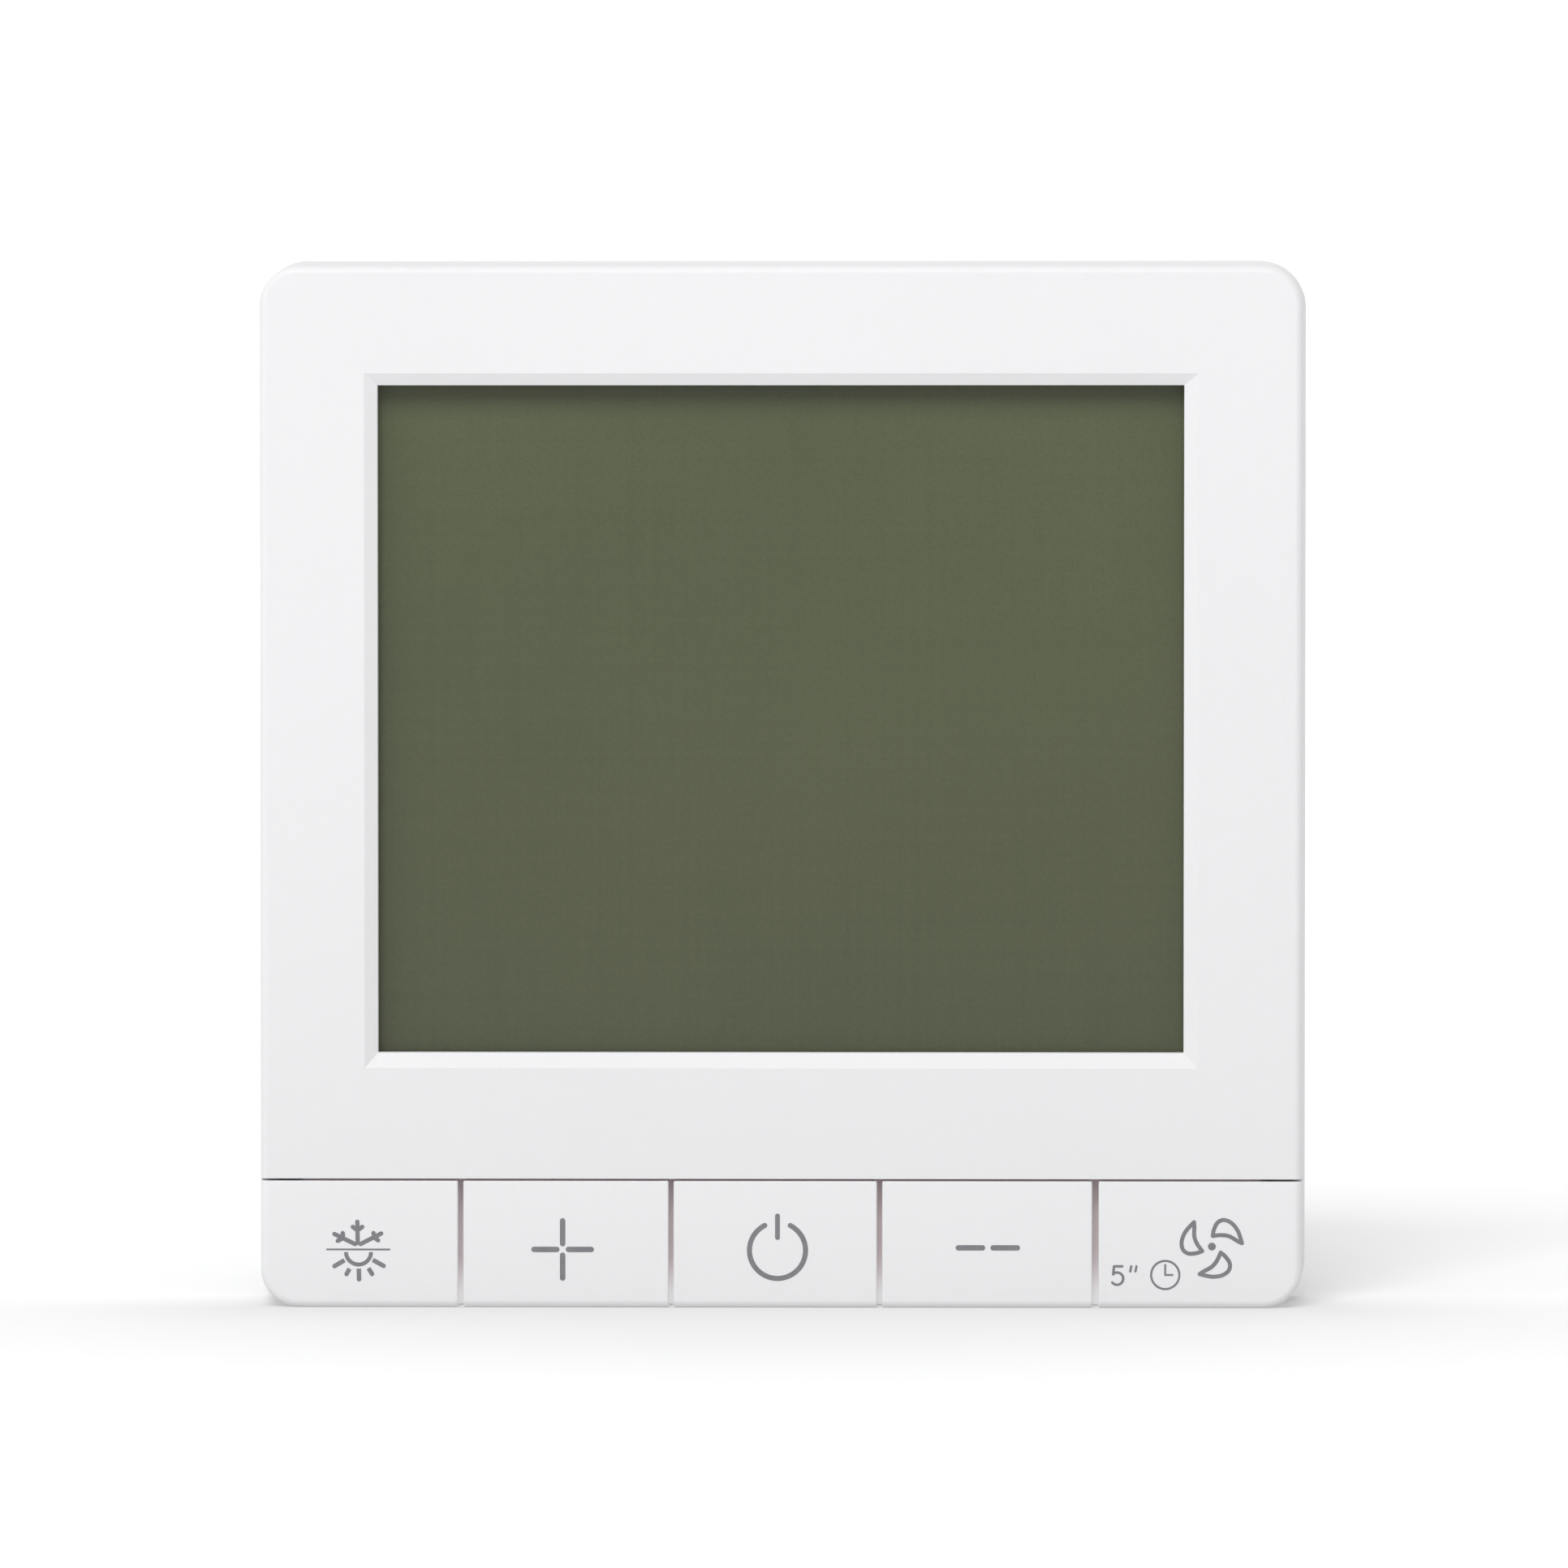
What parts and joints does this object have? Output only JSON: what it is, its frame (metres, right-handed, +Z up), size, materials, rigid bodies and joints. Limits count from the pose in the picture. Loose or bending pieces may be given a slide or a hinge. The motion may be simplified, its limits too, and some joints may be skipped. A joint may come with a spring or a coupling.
{
  "type": "wall thermostat",
  "caption": "Square room thermostat with a grey-green LCD over a row of keys, clipped to a steel plate with an in-wall power case.",
  "frame": {"origin": "centre of the face that rests on the wall, on the axis of the square front", "axes": "+X to the right seen from the front, +Y into the wall, +Z up; the front faces -Y"},
  "size_m": [0.086, 0.0376, 0.086],
  "materials": {
    "shell_white": "fine matte texture",
    "key_white": "fine matte texture, grey printed pictogram",
    "frame_white": "plain",
    "polariser_green": "satin film, grey-green",
    "lcd_glass": "clear",
    "reflector_grey": "satin film",
    "light_guide": "clear acrylic, frosted rear",
    "zebra_rubber": "layered",
    "led_white": "white body, yellow fill",
    "board_green": "green solder mask over glass fibre",
    "switch_black": "plain",
    "stem_black": "plain",
    "chip_black": "moulded package, tinned leads",
    "thermistor_black": "dipped epoxy",
    "header_black": "plain",
    "screw_steel": "zinc plated",
    "zinc_steel": "zinc plated sheet",
    "case_white": "plain",
    "terminal_green": "plain",
    "relay_blue": "plain",
    "ferrite_tape": "ferrite core, yellow tape over the winding",
    "capacitor_sleeve": "shrink sleeve",
    "varistor_blue": "dipped coat",
    "fuse_ceramic": "plain tube, metal caps"
  },
  "bodies": {
    "wall_unit": {"mounting_plate": "zinc_steel", "case_screw_1": "screw_steel", "case_screw_2": "screw_steel", "case_screw_3": "screw_steel", "case_screw_4": "screw_steel", "power_case": "case_white", "power_lid": "case_white", "power_board": "board_green", "pin_header": "header_black", "terminal_block": "terminal_green", "terminal_screw_1": "screw_steel", "terminal_screw_2": "screw_steel", "terminal_screw_3": "screw_steel", "terminal_screw_4": "screw_steel", "terminal_screw_5": "screw_steel", "terminal_screw_6": "screw_steel", "terminal_screw_7": "screw_steel", "relay_high": "relay_blue", "relay_medium": "relay_blue", "relay_low": "relay_blue", "relay_valve": "relay_blue", "transformer": "ferrite_tape", "capacitor_input": "capacitor_sleeve", "capacitor_output": "capacitor_sleeve", "varistor": "varistor_blue", "fuse": "fuse_ceramic"},
    "front_unit": {"front_cover": "shell_white", "lcd_front_polariser": "polariser_green", "lcd_front_glass": "lcd_glass", "lcd_rear_glass": "lcd_glass", "lcd_rear_polariser": "reflector_grey", "light_guide": "light_guide", "zebra_strip": "zebra_rubber", "backlight_led_left": "led_white", "backlight_led_right": "led_white", "lcd_frame": "frame_white", "control_board": "board_green", "board_screw_1": "screw_steel", "board_screw_2": "screw_steel", "board_screw_3": "screw_steel", "board_screw_4": "screw_steel", "microcontroller": "chip_black", "thermistor": "thermistor_black", "board_socket": "header_black", "rear_cover": "frame_white", "switch_base_mode": "switch_black", "switch_base_plus": "switch_black", "switch_base_power": "switch_black", "switch_base_minus": "switch_black", "switch_base_fan": "switch_black"},
    "mode_key": {"key_mode": "key_white", "switch_stem_mode": "stem_black"},
    "plus_key": {"key_plus": "key_white", "switch_stem_plus": "stem_black"},
    "power_key": {"key_power": "key_white", "switch_stem_power": "stem_black"},
    "minus_key": {"key_minus": "key_white", "switch_stem_minus": "stem_black"},
    "fan_key": {"key_fan": "key_white", "switch_stem_fan": "stem_black"}
  },
  "joints": [
    {"name": "front_release", "type": "slide", "parent": "wall_unit", "child": "front_unit", "axis": [0, -1, 0], "range_m": [0, 0.025]},
    {"name": "mode_press", "type": "slide", "parent": "front_unit", "child": "mode_key", "axis": [0, 1, 0], "range_m": [0, 0.0004], "stiffness_N_per_m": 2500, "springref_m": -0.0001},
    {"name": "plus_press", "type": "slide", "parent": "front_unit", "child": "plus_key", "axis": [0, 1, 0], "range_m": [0, 0.0004], "stiffness_N_per_m": 2500, "springref_m": -0.0001},
    {"name": "power_press", "type": "slide", "parent": "front_unit", "child": "power_key", "axis": [0, 1, 0], "range_m": [0, 0.0004], "stiffness_N_per_m": 2500, "springref_m": -0.0001},
    {"name": "minus_press", "type": "slide", "parent": "front_unit", "child": "minus_key", "axis": [0, 1, 0], "range_m": [0, 0.0004], "stiffness_N_per_m": 2500, "springref_m": -0.0001},
    {"name": "fan_press", "type": "slide", "parent": "front_unit", "child": "fan_key", "axis": [0, 1, 0], "range_m": [0, 0.0004], "stiffness_N_per_m": 2500, "springref_m": -0.0001}
  ]
}
